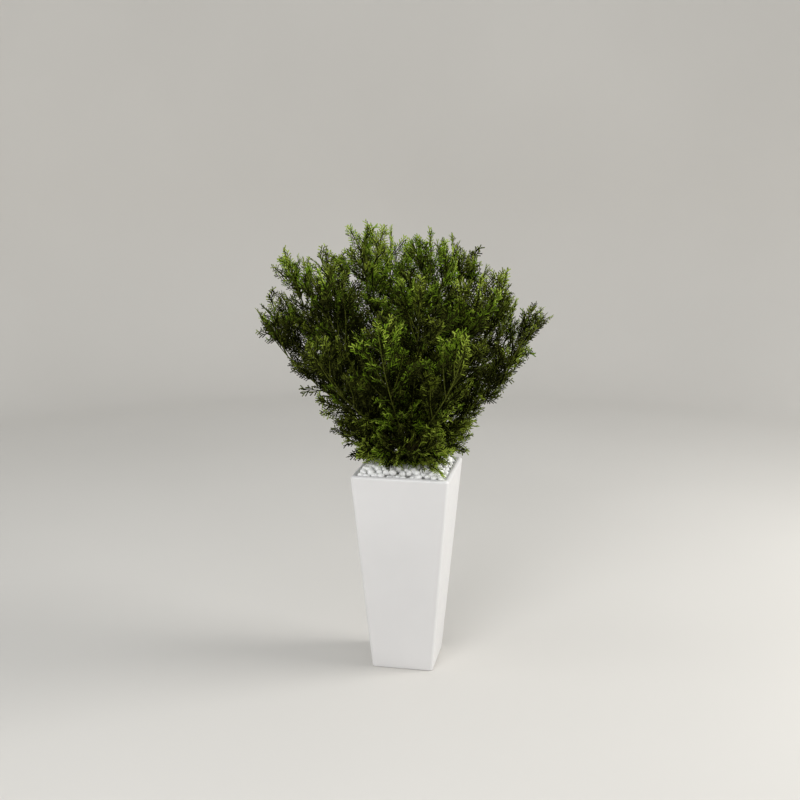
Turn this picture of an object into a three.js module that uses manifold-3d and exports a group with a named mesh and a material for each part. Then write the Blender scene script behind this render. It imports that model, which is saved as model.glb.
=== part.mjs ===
// Potted cedar: a dense bush of flat cedar sprays on boughs that fan out from one short stem,
// in a tall square planter that tapers to its foot and is topped with white pebbles.
// Millimetres, +Z up. The origin is the middle of the planter's underside, and -Y is its front.
import * as THREE from "three";
import { mergeVertices } from "three/addons/utils/BufferGeometryUtils.js";
import Module from "manifold-3d";

const wasm = await Module();
wasm.setup();

// Driving dimensions
const GAP = 0.3;
const PLANTER = { height: 460, topSide: 220, footSide: 140, wall: 8, floor: 10, corner: 8, round: 2.5 };
const BED = { top: 446, depth: 10, corner: 2 };
const PEBBLE = {
  pitch: 24,
  rowShare: 0.87,
  radius: 10.4,
  least: 0.82,
  most: 1.12,
  width: 0.86,
  flatness: 0.6,
  lean: 0.9,
  nudge: 0.8,
  lift: 2,
  liftSpread: 1.5,
  seed: 11,
};
const STEM = {
  flare: 31,
  neck: 20,
  head: 28,
  neckHeight: 17,
  shoulder: 6,
  sides: 16,
  rings: 5,
  clear: 14,
};
const CROWN = {
  footHeight: 480,
  dome: 536,
  domeDrop: 0.125,
  mouth: 126,
  flareDeg: 33.4,
  lean: 0.06,
  leanTurnDeg: 191,
  seed: 36511,
};
const BOUGH = { share: 0.24, baseRadius: 3.3, tipRadius: 2.6, sides: 6, steps: 2, bow: 0.055 };

// Sprays are cut from flat sheet. Lengths called shares are shares of the spray or of the plume.
const SPRAY = {
  clear: 0.5,
  rimClear: 2,
  headClear: 3,
  stemRadius: 2.9,
  stemTip: 1.6,
  stemOverlap: 12,
  firstTwig: 0.35,
  twigWidth: 2.2,
  twigRoot: 1.3,
  thickness: 2,
  turnDeg: 137.5,
  forwardDeg: 30,
  roll: 0.6,
  perDistance: 0.54,
  leastLength: 70,
  twigShare: 0.18,
  tipShare: 0.38,
  widthShare: 0.46,
  sideTeeth: 2,
  tipTeeth: 3,
  rootToothShare: 0.8,
  tipToothShare: 0.75,
  toothHook: 0.03,
  notch: 0.36,
};
const SIDE_TRIALS = { sizes: [1, 0.86, 0.72, 0.58], turns: [0, -0.5, 0.5] };
const TIP_TRIALS = { sizes: [1, 0.9, 0.8, 0.7], turns: [0, 0.8, 1.6, 2.4] };

// Plumes stand in tiers round the stem. Tilt is from the vertical, and turn from +X towards +Y.
const TIERS = [
  { name: "crest", count: 4, tiltDeg: 11, turnDeg: 35, hasBough: true },
  { name: "upper", count: 8, tiltDeg: 28, turnDeg: 12, hasBough: true },
  { name: "outer", count: 11, tiltDeg: 44, turnDeg: 10.9, hasBough: true },
  { name: "skirt", count: 8, tiltDeg: 64, turnDeg: 30, hasBough: false },
];
const TWIGS_PER_PLUME = 5;
const JITTER = { tiltDeg: 3.5, turn: 0.13, reach: 0.1 };

const MATERIALS = {
  planter: material(0xe2e0de, 0.35),
  fill: material(0x3b3026, 0.95),
  pebble: material(0xeceae6, 0.6),
  bark: material(0x4a3a28, 0.9),
  bough: material(0x4c4a24, 0.8),
  foliage: material(0x466a1c, 0.65),
};

const FOOT = new THREE.Vector3(0, 0, CROWN.footHeight);
const UP = new THREE.Vector3(0, 0, 1);
const RAD = Math.PI / 180;

function material(color, roughness) {
  return new THREE.MeshStandardMaterial({ color, roughness, metalness: 0 });
}

// A seeded source of numbers from 0 to 1.
function randomFrom(seed) {
  let state = seed >>> 0;
  return () => {
    state = (state + 0x6d2b79f5) >>> 0;
    let t = state;
    t = Math.imul(t ^ (t >>> 15), t | 1);
    t ^= t + Math.imul(t ^ (t >>> 7), t | 61);
    return ((t ^ (t >>> 14)) >>> 0) / 4294967296;
  };
}

function solidOf(geometry) {
  const bare = geometry.index ? geometry.toNonIndexed() : geometry.clone();
  bare.deleteAttribute("normal");
  bare.deleteAttribute("uv");
  const merged = mergeVertices(bare, 1e-4);
  return new wasm.Manifold(
    new wasm.Mesh({
      numProp: 3,
      vertProperties: new Float32Array(merged.attributes.position.array),
      triVerts: new Uint32Array(merged.index.array),
    }),
  );
}

function geometryOf(solid) {
  const mesh = solid.getMesh();
  const geometry = new THREE.BufferGeometry();
  geometry.setAttribute("position", new THREE.BufferAttribute(new Float32Array(mesh.vertProperties), 3));
  geometry.setIndex(new THREE.BufferAttribute(new Uint32Array(mesh.triVerts), 1));
  geometry.computeVertexNormals();
  return geometry;
}

function fuse(geometries) {
  return geometryOf(geometries.map(solidOf).reduce((whole, piece) => whole.add(piece)));
}

function named(name, geometry, look) {
  const mesh = new THREE.Mesh(geometry, look);
  mesh.name = name;
  return mesh;
}

// The planter's outer side at a height.
function sideAt(z) {
  return PLANTER.footSide + (PLANTER.topSide - PLANTER.footSide) * (z / PLANTER.height);
}

// A ring of points round a square with rounded corners.
function squareRing(side, corner, z, steps = 4) {
  const ring = [];
  const middle = side / 2 - corner;
  for (let quarter = 0; quarter < 4; quarter++) {
    const cx = quarter === 0 || quarter === 3 ? middle : -middle;
    const cy = quarter < 2 ? middle : -middle;
    for (let i = 0; i <= steps; i++) {
      const a = (quarter + i / steps) * (Math.PI / 2);
      ring.push(new THREE.Vector3(cx + corner * Math.cos(a), cy + corner * Math.sin(a), z));
    }
  }
  return ring;
}

// A closed skin over rings of equal length, flat at both ends.
function loft(rings) {
  const n = rings[0].length;
  const position = rings.flat().flatMap((p) => [p.x, p.y, p.z]);
  const index = [];
  for (let r = 0; r + 1 < rings.length; r++) {
    for (let i = 0; i < n; i++) {
      const a = r * n + i;
      const b = r * n + ((i + 1) % n);
      index.push(a, b, b + n, a, b + n, a + n);
    }
  }
  const last = (rings.length - 1) * n;
  for (let i = 1; i + 1 < n; i++) {
    index.push(0, i + 1, i);
    index.push(last, last + i, last + i + 1);
  }
  const geometry = new THREE.BufferGeometry();
  geometry.setAttribute("position", new THREE.Float32BufferAttribute(position, 3));
  geometry.setIndex(index);
  return geometry;
}

function planter() {
  const { height, wall, floor, corner, round } = PLANTER;
  const inner = Math.max(corner - wall, 2);
  return loft([
    squareRing(sideAt(0) - 2 * round, corner - round / 2, 0),
    squareRing(sideAt(round), corner, round),
    squareRing(sideAt(height - round), corner, height - round),
    squareRing(sideAt(height) - 1.2 * round, corner - round / 3, height - 0.3 * round),
    squareRing(sideAt(height) - 2 * round, corner - round / 2, height),
    squareRing(sideAt(height) - 2 * wall + round, inner + round, height),
    squareRing(sideAt(height) - 2 * wall, inner, height - round),
    squareRing(sideAt(floor) - 2 * wall, inner, floor),
  ]);
}

// A block that fills the planter between two heights, just clear of its walls.
function plug(low, high) {
  const inset = 2 * (PLANTER.wall + GAP);
  return loft([
    squareRing(sideAt(low) - inset, BED.corner, low),
    squareRing(sideAt(high) - inset, BED.corner, high),
  ]);
}

// One rounded pebble, a squashed and turned icosahedron.
function pebble(x, y, random) {
  const size = PEBBLE.radius * (PEBBLE.least + (PEBBLE.most - PEBBLE.least) * random());
  const stone = new THREE.IcosahedronGeometry(size, 0);
  const turn = new THREE.Euler(PEBBLE.lean * random(), PEBBLE.lean * random(), 2 * Math.PI * random());
  stone.applyMatrix4(new THREE.Matrix4().makeRotationFromEuler(turn));
  stone.scale(1, PEBBLE.width, PEBBLE.flatness);
  stone.translate(x, y, BED.top + PEBBLE.lift + PEBBLE.liftSpread * random());
  return stone;
}

// A slab with pebbles sunk in it, in staggered rows, and bare under the stem.
function pebbleBed() {
  const random = randomFrom(PEBBLE.seed);
  const reach = sideAt(BED.top) / 2 - PLANTER.wall - GAP - PEBBLE.radius * PEBBLE.most;
  const rows = Math.floor((2 * reach) / (PEBBLE.pitch * PEBBLE.rowShare));
  const columns = Math.floor((2 * reach) / PEBBLE.pitch);
  const stones = [plug(BED.top - BED.depth, BED.top)];
  for (let row = 0; row <= rows; row++) {
    const y = -reach + (2 * reach * row) / rows;
    const count = columns - (row % 2);
    for (let i = 0; i <= count; i++) {
      const x = ((i - count / 2) * 2 * reach) / columns;
      const nudgeX = PEBBLE.nudge * (2 * random() - 1);
      const nudgeY = PEBBLE.nudge * (2 * random() - 1);
      const stone = pebble(clampTo(x + nudgeX, reach), clampTo(y + nudgeY, reach), random);
      if (Math.hypot(x, y) > STEM.flare + STEM.clear) stones.push(stone);
    }
  }
  return fuse(stones);
}

function clampTo(value, limit) {
  return Math.max(-limit, Math.min(limit, value));
}

// The stem flares to a flat cut on the bed, and swells to a round head that the boughs leave.
function stem() {
  const ground = BED.top + GAP;
  const neck = ground + STEM.neckHeight;
  const profile = [new THREE.Vector2(0, ground), new THREE.Vector2(STEM.flare, ground)];
  for (const t of [0.25, 0.55, 1]) {
    const radius = STEM.neck + (STEM.flare - STEM.neck) * (1 - t) ** 2;
    profile.push(new THREE.Vector2(radius, ground + (neck - ground) * t));
  }
  const start = Math.asin((neck + STEM.shoulder - FOOT.z) / STEM.head);
  for (let i = 0; i <= STEM.rings; i++) {
    const a = start + ((Math.PI / 2 - start) * i) / STEM.rings;
    const radius = i === STEM.rings ? 0 : STEM.head * Math.cos(a);
    profile.push(new THREE.Vector2(radius, FOOT.z + STEM.head * Math.sin(a)));
  }
  return new THREE.LatheGeometry(profile, STEM.sides).rotateX(Math.PI / 2);
}

// How far the crown reaches from its foot at a tilt and a turn, in radians. It leans to one side.
function crownReach(tilt, turn) {
  const dome = CROWN.dome * (1 - CROWN.domeDrop * (tilt / (45 * RAD)) ** 4);
  const spread = Math.sin(tilt) - Math.tan(CROWN.flareDeg * RAD) * Math.cos(tilt);
  const lean = 1 + CROWN.lean * Math.sin(tilt) * Math.cos(turn - CROWN.leanTurnDeg * RAD);
  return lean * (spread > 0 ? Math.min(dome, CROWN.mouth / spread) : dome);
}

function directionOf(tilt, turn) {
  return new THREE.Vector3(
    Math.sin(tilt) * Math.cos(turn),
    Math.sin(tilt) * Math.sin(turn),
    Math.cos(tilt),
  );
}

// Every plume of the crown: its axis, how far it reaches and where its bough ends.
function growPlumes() {
  const random = randomFrom(CROWN.seed);
  const plumes = [];
  for (const tier of TIERS) {
    for (let k = 0; k < tier.count; k++) {
      const tilt = (tier.tiltDeg + JITTER.tiltDeg * (2 * random() - 1)) * RAD;
      const step = (2 * Math.PI) / tier.count;
      const turn = tier.turnDeg * RAD + step * (k + JITTER.turn * (2 * random() - 1));
      const reach = crownReach(tilt, turn) * (1 - JITTER.reach * random());
      const axis = directionOf(tilt, turn);
      const start = tier.hasBough ? BOUGH.share * reach : STEM.head + GAP;
      const sag = directionOf(tilt + Math.PI / 2, turn).multiplyScalar(BOUGH.bow * reach);
      const phase = 2 * Math.PI * random();
      plumes.push({ name: tier.name + "_" + (k + 1), tier, axis, sag, reach, start, phase });
    }
  }
  for (const plume of plumes) {
    plume.walls = plumes
      .filter((other) => other !== plume)
      .map((other) => plume.axis.clone().sub(other.axis).normalize());
  }
  return plumes;
}

// The point on a plume's line at a distance from the foot. The line bows down and its tip turns up.
function pointOn(plume, distance) {
  const t = distance / plume.reach;
  return FOOT.clone()
    .addScaledVector(plume.axis, distance)
    .addScaledVector(plume.sag, 6.75 * t * t * (1 - t));
}

function headingAt(plume, distance) {
  return pointOn(plume, distance + 1).sub(pointOn(plume, distance)).normalize();
}

// A plume owns the wedge of space that is nearer its own axis than any other's, above the rim.
function ownsPoint(plume, point) {
  const p = point.clone().sub(FOOT);
  const inWedge = plume.walls.every((wall) => p.dot(wall) > SPRAY.clear);
  const offHead = p.length() > STEM.head + SPRAY.headClear;
  const inReach = p.length() < plume.reach + SPRAY.thickness;
  return inWedge && offHead && inReach && point.z > PLANTER.height + SPRAY.rimClear;
}

function owns(plume, geometry) {
  const position = geometry.attributes.position;
  const p = new THREE.Vector3();
  for (let i = 0; i < position.count; i++) {
    if (!ownsPoint(plume, p.fromBufferAttribute(position, i))) return false;
  }
  return true;
}

// A limb along a plume's line between two distances from the foot.
function limb(plume, from, to, rootRadius, tipRadius, sides, steps) {
  const tube = new THREE.CylinderGeometry(tipRadius, rootRadius, to - from, sides, steps);
  const turn = new THREE.Quaternion().setFromUnitVectors(new THREE.Vector3(0, 1, 0), plume.axis);
  const position = tube.attributes.position;
  const p = new THREE.Vector3();
  for (let i = 0; i < position.count; i++) {
    p.fromBufferAttribute(position, i);
    const along = p.y + (from + to) / 2;
    p.setY(0).applyQuaternion(turn).add(pointOn(plume, along));
    position.setXYZ(i, p.x, p.y, p.z);
  }
  return tube;
}

function bough(plume) {
  const { baseRadius, tipRadius, sides, steps } = BOUGH;
  return limb(plume, STEM.head + GAP, plume.start, baseRadius, tipRadius, sides, steps);
}

// The outline of a flat cedar spray along Y: a bare twig, then teeth that point forwards on both
// sides of a leading tip.
function sprayShape(bare, blade, teeth) {
  const side = [[SPRAY.twigRoot / 2, 0], [SPRAY.twigWidth / 2, bare]];
  for (let j = 0; j < teeth; j++) {
    const t = (j + SPRAY.rootToothShare) / (teeth - 1 + SPRAY.rootToothShare + SPRAY.tipToothShare);
    const reach = ((blade * SPRAY.widthShare) / 2) * toothReach(t);
    side.push([reach, bare + blade * t], [reach * SPRAY.notch, bare + blade * (t + SPRAY.toothHook)]);
  }
  const shape = new THREE.Shape();
  side.forEach(([x, y], i) => (i ? shape.lineTo(x, y) : shape.moveTo(x, y)));
  shape.lineTo(0, bare + blade);
  side.reverse().forEach(([x, y]) => shape.lineTo(-x, y));
  shape.closePath();
  return shape;
}

// How far a tooth reaches at a share of the blade's length: widest at two fifths of the way.
function toothReach(t) {
  return Math.sin(Math.PI * (0.25 + 0.625 * t));
}

// A frame at a root, with Y along a heading and Z as near to a normal as it can be.
function frameOf(root, heading, normal) {
  const face = normal.clone().addScaledVector(heading, -normal.dot(heading)).normalize();
  return new THREE.Matrix4().makeBasis(heading.clone().cross(face), heading, face).setPosition(root);
}

// A flat spray on its twig, along Y.
function spray(bare, blade, teeth) {
  const depth = SPRAY.thickness;
  const shape = sprayShape(bare, blade, teeth);
  return new THREE.ExtrudeGeometry(shape, { depth, bevelEnabled: false }).translate(0, 0, -depth / 2);
}

// A list of the largest trial that stays in the plume's own space, or an empty list.
function firstFit(plume, trials, make) {
  for (const size of trials.sizes) {
    for (const turn of trials.turns) {
      const geometry = make(size, turn);
      if (owns(plume, geometry)) return [geometry];
    }
  }
  return [];
}

function perpendicular(v) {
  return v.clone().cross(Math.abs(v.z) > 0.9 ? new THREE.Vector3(1, 0, 0) : UP).normalize();
}

// A twig that leaves the plume's stem at an angle and ends in a flat spray.
function sideSpray(plume, distance, turn) {
  const forward = headingAt(plume, distance);
  const full = Math.max(SPRAY.perDistance * distance, SPRAY.leastLength);
  return firstFit(plume, SIDE_TRIALS, (size, nudge) => {
    const out = perpendicular(forward).applyAxisAngle(forward, turn + nudge);
    const lean = SPRAY.forwardDeg * RAD;
    const heading = forward.clone().multiplyScalar(Math.cos(lean)).addScaledVector(out, Math.sin(lean));
    const normal = forward.clone().cross(out).addScaledVector(out, SPRAY.roll);
    const bare = full * size * SPRAY.twigShare;
    const frame = frameOf(pointOn(plume, distance), heading, normal);
    return spray(bare, full * size - bare, SPRAY.sideTeeth).applyMatrix4(frame);
  });
}

// The spray that leads the plume to its tip.
function leadingSpray(plume, from) {
  const heading = pointOn(plume, plume.reach).sub(pointOn(plume, from)).normalize();
  return firstFit(plume, TIP_TRIALS, (size, turn) => {
    const normal = perpendicular(heading).applyAxisAngle(heading, plume.phase + turn);
    const frame = frameOf(pointOn(plume, from), heading, normal);
    return spray(0, (plume.reach - from) * size, SPRAY.tipTeeth).applyMatrix4(frame);
  });
}

// A mass of foliage: one stem, side sprays that turn round it by a fixed angle, and a leading spray.
function foliage(plume) {
  const { start, reach, tier, phase } = plume;
  const from = start + (tier.hasBough ? GAP : 0);
  const fork = reach * (1 - SPRAY.tipShare);
  const pieces = [limb(plume, from, fork + SPRAY.stemOverlap, SPRAY.stemRadius, SPRAY.stemTip, 3, 2)];
  for (let k = 0; k < TWIGS_PER_PLUME; k++) {
    const along = from + (fork - from) * ((k + SPRAY.firstTwig) / TWIGS_PER_PLUME);
    pieces.push(...sideSpray(plume, along, phase + k * SPRAY.turnDeg * RAD));
  }
  pieces.push(...leadingSpray(plume, fork));
  return fuse(pieces);
}

const cedar = new THREE.Group();
cedar.add(named("planter", planter(), MATERIALS.planter));
cedar.add(named("potting_fill", plug(PLANTER.floor + GAP, BED.top - BED.depth - GAP), MATERIALS.fill));
cedar.add(named("pebble_bed", pebbleBed(), MATERIALS.pebble));
cedar.add(named("stem", stem(), MATERIALS.bark));
for (const plume of growPlumes()) {
  if (plume.tier.hasBough) {
    cedar.add(named("bough_" + plume.name, bough(plume), MATERIALS.bough));
  }
  cedar.add(named("foliage_" + plume.name, foliage(plume), MATERIALS.foliage));
}

export default cedar;
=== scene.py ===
"""Potted cedar: the looks of a bush of flat feathery sprays in a tall tapered white planter.

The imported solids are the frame. The crown is grown again here by the rule of the part's source,
carried on to fronds of fine twigs, and the planter, pebbles, stem and boughs get finer meshes.
Growth is worked out in millimetres and turned to metres as each mesh is made.
"""

import random
from math import atan2, cos, exp, hypot, pi, sin, sqrt, tan
from types import SimpleNamespace as Values

import bmesh
import bpy
import numpy as np
from mathutils import Matrix, Vector, noise


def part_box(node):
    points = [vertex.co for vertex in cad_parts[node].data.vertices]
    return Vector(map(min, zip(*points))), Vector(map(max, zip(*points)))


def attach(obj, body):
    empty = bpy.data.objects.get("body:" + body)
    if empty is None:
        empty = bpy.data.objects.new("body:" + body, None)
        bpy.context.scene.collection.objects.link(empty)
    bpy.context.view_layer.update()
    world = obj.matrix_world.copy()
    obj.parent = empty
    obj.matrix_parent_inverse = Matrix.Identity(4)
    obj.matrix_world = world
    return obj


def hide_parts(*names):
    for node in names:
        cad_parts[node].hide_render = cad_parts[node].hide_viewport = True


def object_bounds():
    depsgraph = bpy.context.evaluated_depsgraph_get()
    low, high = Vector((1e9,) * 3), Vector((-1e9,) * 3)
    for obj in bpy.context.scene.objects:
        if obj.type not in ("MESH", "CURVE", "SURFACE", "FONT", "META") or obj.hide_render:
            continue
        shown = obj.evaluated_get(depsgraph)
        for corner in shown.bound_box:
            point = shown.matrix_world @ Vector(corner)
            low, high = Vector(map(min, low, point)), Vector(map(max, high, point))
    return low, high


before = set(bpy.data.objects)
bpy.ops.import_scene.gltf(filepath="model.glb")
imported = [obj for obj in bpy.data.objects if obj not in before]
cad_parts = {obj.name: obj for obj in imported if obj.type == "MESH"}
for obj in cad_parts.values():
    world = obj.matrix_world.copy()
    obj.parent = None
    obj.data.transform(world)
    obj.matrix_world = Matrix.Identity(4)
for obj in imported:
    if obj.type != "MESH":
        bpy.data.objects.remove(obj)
CAD_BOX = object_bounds()

MM = 0.001
RAD = pi / 180
BODY = "root"
UP = np.array([0.0, 0.0, 1.0])

# The crown's rule, as in the part's source
GAP = 0.3
RIM_HEIGHT = 460
STEM_HEAD = 28
CROWN = Values(
    foot_height=480, dome=536, dome_drop=0.125, drop_at_deg=45, drop_until_deg=60,
    mouth=126, flare_deg=33.4, lean=0.06, lean_turn_deg=191, seed=36511,
)
TURN_DEG = 137.5
JITTER = Values(tilt_deg=3.5, turn=0.13, reach=0.1)
TIERS = [
    Values(name="crest", count=4, tilt_deg=11, turn_deg=35, has_bough=True, notch=0.14),
    Values(name="upper", count=8, tilt_deg=28, turn_deg=12, has_bough=True, notch=0.14),
    Values(name="outer", count=11, tilt_deg=44, turn_deg=10.9, has_bough=True, notch=0.12),
    Values(name="skirt", count=8, tilt_deg=64, turn_deg=30, has_bough=False, notch=0.05),
]
FOOT = np.array([0.0, 0.0, CROWN.foot_height])
# Makes the greatest value of t * t * (1 - t) from 0 to 1 the bow itself
BOW_SCALE = 6.75

# The limbs' meshes, and how deep limbs and low sprays are rooted in the stem's head
BOUGH = Values(share=0.24, bow=0.055, root_radius=3.3, tip_radius=2.6, sides=10, step=4, relief=0.7)
PLUME_STEM = Values(root_radius=1.624, tip_radius=0.8, bare_tip=12, sides=6, step=9, relief=0.2)
STEM = Values(
    neck=20, flare=31, neck_height=17, sink=4, least_radius=4, inset=0.5, steps=34,
    sides=48, relief=2.2, seed=3.0,
)
RELIEF = Values(around=2.2, along=0.05)
LIMB_SINK = 3
SPRAY_SINK = 1

# A plume's own stem ends where the crown does, found in steps
TIP = Values(proud=4, step=4, least_share=0.6)
# How far from its walls a plume's tip begins to fall back, which parts it from the next one
NOTCH_WIDTH = 32

# The plumes' side branches
BRANCH = Values(
    pitch=32, first_share=0.5, first_clear=6, last_share=0.8, least_count=3, stagger=0.35,
    lean_deg=31, bend_deg=16, per_distance=0.5, least_length=70, tip_share=0.96,
    root_radius=1.3, tip_radius=0.8, sides=4, steps=6, slack=14, inset=12,
    sizes=(1, 0.86, 0.72, 0.58, 0.46), nudges=(0, -0.5, 0.5, 1.1, -1.1),
)

# The fronds' templates. A pinna is a side twig of a frond, and carries the finest twigs. A shade is added
# to the frond's own level: painted shade on the stalks of fronds and pinnae, and painted light rising along
# the finest twigs of each pinna towards its tip
FROND = Values(
    lengths=(30, 42, 58, 78, 100), variants=4, lead_length=108, lead_share=0.19, steps=5,
    sideways=0.5, curl=(0.1, 0.45), radius=1.15, depth=0.85, rank=0.4, shade=-3.0,
    first_share=0.08, first_clear=2, last_clear=2.5, seed=89,
)
PINNA = Values(
    pitch=7.0, share=0.34, least=8, root_share=0.5, rise=1.6, fall=0.65, lean_deg=41,
    lean_fall_deg=14, lean_spread_deg=9, twist=0.5, bend_deg=(14, 12), bends=(0.25, 0.85),
    radius=0.8, depth=0.8, shade=-1.6,
)
TWIG = Values(
    pitch=3.6, first=3.6, last_clear=1, length=9.6, tip_length=4.6, taper=0.7, lean_deg=35,
    lean_spread_deg=12, lift=0.5, half_width=0.95, half_depth=0.85, keel=0.6, end=1.15,
    shade=0.15, shade_rise=0.35,
)
# The least of a drawn share and the span over it
SIZES = (0.8, 0.4)
PITCHES = (0.85, 0.3)

# How fronds are set along a line, and how far they may reach out of the plume's space
SPRAY = Values(
    stem_pitch=13, branch_pitch=15, first_share=0.2, bare_end=12, thinning=1.9,
    pitch_spread=0.15, lean_deg=34, lean_spread_deg=7, fan=0.9, roll_deg=50,
    reach_share=0.6, least_reach=22, reach_spread=0.12, slack=24, proud=6, shy=22, spare=6,
    sizes=(1, 0.82, 0.66, 0.5),
)
# The narrow frond that leads a line to its tip
LEAD = Values(share=0.6, most=76, low_most=60, least_start=0.05)

# The low sprays: short ones that hang round the stem, clothed branches that reach the rim, shorter in front
# and to the right, and one long spray that droops over the front right corner
HANGING = Values(count=60, tilt_deg=99, tilt_spread_deg=8, root_lift=0.25, roll=0.7, least=24, most=42)
APRON = Values(
    count=30, tilt_deg=80, tilt_spread_deg=9, droop_deg=8, least=74, most=108,
    least_points=3, front_cut=0.42, front_turn_deg=15, right_cut=0.2, pitch=12,
)
STRAY = Values(turn_deg=-47, tilt_deg=86, droop_deg=18, length=112, sprays=(60, 92))

# The flank of the crown is hollowed below its widest part, between two heights over the foot, and its lower
# sides get painted light, between two tilts
FLANK = Values(hollow=10, low=-60, high=400, tilt_from=44, tilt_to=58)
# Twigs stay over the pebbles inside the planter's mouth, and over its rim outside
MOUTH_HALF = 100
LOWEST_TWIG = 464
RIM_CLEAR = 3
BOX_MARGIN = 4
BOX_LOW = np.array(CAD_BOX[0]) / MM - BOX_MARGIN
BOX_HIGH = np.array(CAD_BOX[1]) / MM + BOX_MARGIN
PIECE_LIMIT = 190_000

# The greens from the darkest to the lightest, which are lit and shaded copies of the leaf: the darker ones
# hold painted shade and the lighter ones painted light. Every branch is either olive or fresh, and the
# fresh ones are commonest in the middle of the crown
TONES = {
    "olive": ["deep", "dark", "mid", "bright", "lime"],
    "fresh": ["deep", "dark", "fresh_mid", "fresh_bright", "lime"],
}
# Each green's darker and lighter colour, which hold its painted light or shade, and its gloss, least in the
# shaded greens and most in the lit ones
SHADED_AND_LIT_GREENS = {
    "deep": ((16, 18, 5), (27, 30, 9), 0.0),
    "dark": ((40, 43, 14), (54, 58, 20), 0.02),
    "mid": ((70, 78, 23), (89, 99, 33), 0.04),
    "bright": ((110, 124, 36), (132, 147, 50), 0.08),
    "lime": ((140, 160, 50), (164, 184, 72), 0.12),
    "fresh_mid": ((62, 79, 16), (81, 102, 23), 0.04),
    "fresh_bright": ((98, 126, 22), (119, 150, 33), 0.08),
}
FRESH = Values(share=0.75, fall=1.0, least=0.1, low_share=0.5)
# The level of a frond, as a place in TONES, mostly painted light and shade: painted shade inside the crown
# and on its left; painted light at its surface, at the top, on its right, on its lower flanks, towards the
# tips and in the leading fronds, and low down and in the low sprays, where the crown shades them. The
# spreads are tone that differs at random
PAINTED_LIGHT_AND_TONE = Values(
    inside=-3.25, outward=3.2, top=1.7, stem_top=1.3, low=3.5, low_fall=2.2, left=1.0,
    right=0.9, flank=1.3, plume_spread=0.7, branch_spread=0.8, tip_rise=0.6,
    branch_lead=0.8, stem_lead=1.2, apron_lead=0.7, hanging=3.3, hanging_spread=1.0,
    apron=3.7, apron_spread=0.9, stray=2.6,
)
# How a frond's twigs differ from its level: rising from root to tip, painted shade at the root and painted
# light at the tip; by pinna, and each on its own, a random tone, more so in light fronds. Axes, which have
# shades below a limit, are kept dark as painted shade
SHADE = Values(
    root=-1.0, rise=2.7, pinna=0.6, least_own=1.9, own_rise=0.5, most_own=3.2,
    axis_below=-1, axis_most=0.4,
)

PLANTER = Values(
    wall=14, corner=8, inner_corner=3, base_corner=4, base_inset=30, corner_share=0.4,
    edge=6.8, foot_edge=3.0, inner_floor=400, inner_steps=(20, 40), rings=24,
    corner_steps=8, side_steps=10,
)
# The pebbles rise from the planter's wall towards the stem
HEAP = Values(height=15, run=24)
# A layer of pebbles has a height, a pitch and a fineness
PEBBLE = Values(
    layers=((443.0, 14.0, 2), (456.5, 16.3, 3)), radius=8.8, sizes=(0.72, 0.4), jitter=2.7,
    row_share=0.87, wall_share=0.6, stem_clear=27, lean=0.4, lift=5, templates=12, flats=3,
    flat_depth=(0.84, 0.12), wear=0.8, lumps=0.16, lump_scale=0.9, lump_run=50,
    squash=(1.0, 0.92, 0.9), seed=11,
)
# The bed that stands in for the deeper pebbles, grey with painted shade
DEEP_BED = Values(top=445, side_height=448, overlap=0.5, steps=40, bumps=2.2, bump_scale=0.12)

# Bark colours, darker and lighter
BARKS = {
    "stem_bark": ((24, 23, 14), (46, 42, 26)),
    "bough_bark": ((60, 56, 28), (96, 92, 48)),
    "twig_bark": ((52, 58, 14), (88, 96, 27)),
}

# The studio, in metres, and the name, place, size, power and colour of each of its lights
STUDIO = Values(inner=0.02, middle=1.5, floor=3.0, bend=1.0, height=3.4, bend_steps=16, around=96)
WORLD = Values(colour=(0.93, 0.97, 1.0, 1.0), strength=0.7)
LIGHTS = [
    ("key", (2.9, 0.4, 2.0), 1.9, 84, (1.0, 0.99, 0.97)),
    ("fill", (-0.5, -2.8, 2.0), 1.7, 45, (0.97, 0.98, 1.0)),
    ("rim", (-2.7, -0.9, 1.7), 1.2, 7, (0.97, 0.98, 1.0)),
]
LIGHT_TARGET = (0, 0, 0.6)

# The photograph's camera
CAMERA = Values(
    azimuth_deg=10.9, distance=2.423, height=1.115, pitch_deg=11.73, aside=-0.018,
    focal_px=1110, frame_px=800, sensor_mm=36,
)


# Chance and directions

def random_from(seed):
    """The part's own source of numbers from 0 to 1."""
    mask = 0xFFFFFFFF
    state = seed & mask

    def draw():
        nonlocal state
        state = (state + 0x6D2B79F5) & mask
        t = state
        t = ((t ^ (t >> 15)) * (t | 1)) & mask
        t ^= (t + (((t ^ (t >> 7)) * (t | 61)) & mask)) & mask
        return ((t ^ (t >> 14)) & mask) / 4294967296

    return draw


def varied(rng, spread):
    """A number over the least of a spread, by up to its span."""
    least, span = spread
    return least + span * rng.random()


def about_zero(rng, span):
    return span * (rng.random() - 0.5)


def unit(v):
    return v / np.linalg.norm(v)


def direction_of(tilt, turn):
    return np.array([sin(tilt) * cos(turn), sin(tilt) * sin(turn), cos(tilt)])


def angles_of(p):
    """The tilt from the vertical and the turn of a place seen from the crown's foot."""
    return atan2(hypot(p[0], p[1]), p[2]), atan2(p[1], p[0])


def rotate(v, axis, angle):
    """v turned about a unit axis."""
    c, s = cos(angle), sin(angle)
    return v * c + np.cross(axis, v) * s + axis * (axis @ v) * (1 - c)


def leaning(forward, out, lean):
    return forward * cos(lean) + out * sin(lean)


def perpendicular(v):
    return unit(np.cross(v, np.array([1.0, 0.0, 0.0]) if abs(v[2]) > 0.9 else UP))


def frame_of(heading, normal):
    """Rows are a frame's X, Y and Z: Y along a heading and Z as near to a normal as it can be."""
    face = unit(normal - heading * (normal @ heading))
    return np.array([np.cross(heading, face), heading, face])


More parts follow.
